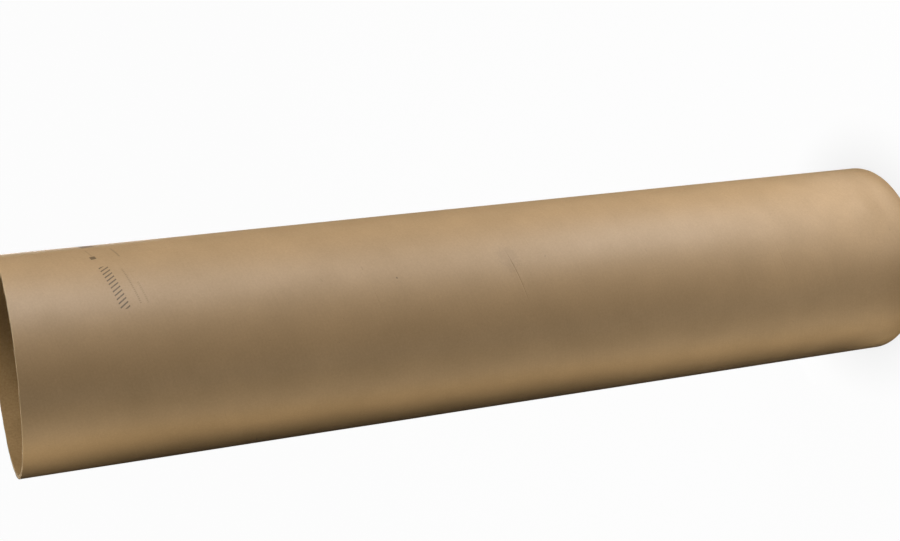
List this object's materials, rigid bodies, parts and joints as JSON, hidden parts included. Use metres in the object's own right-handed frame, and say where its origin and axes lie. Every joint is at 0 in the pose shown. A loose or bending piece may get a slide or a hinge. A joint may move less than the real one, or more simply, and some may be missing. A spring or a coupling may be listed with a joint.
{
  "type": "concrete form tube",
  "caption": "Straight round tube of spirally wound brown paper, open and cut square at both ends, used upright as a throw-away form for casting a concrete column or footing.",
  "frame": {"origin": "on the tube's axis, in the plane of its lower end", "axes": "+Z along the tube's axis, from the lower end up to the end with the printed marks; -Y points at the side with the marks, a little to the -X side of them"},
  "size_m": [0.26, 0.26, 1.2],
  "materials": {
    "kraft_paper": "satin brown kraft paper, faintly mottled, with a fine open joint line winding round it"
  },
  "bodies": {
    "root": {"tube": "kraft_paper"}
  },
  "joints": []
}
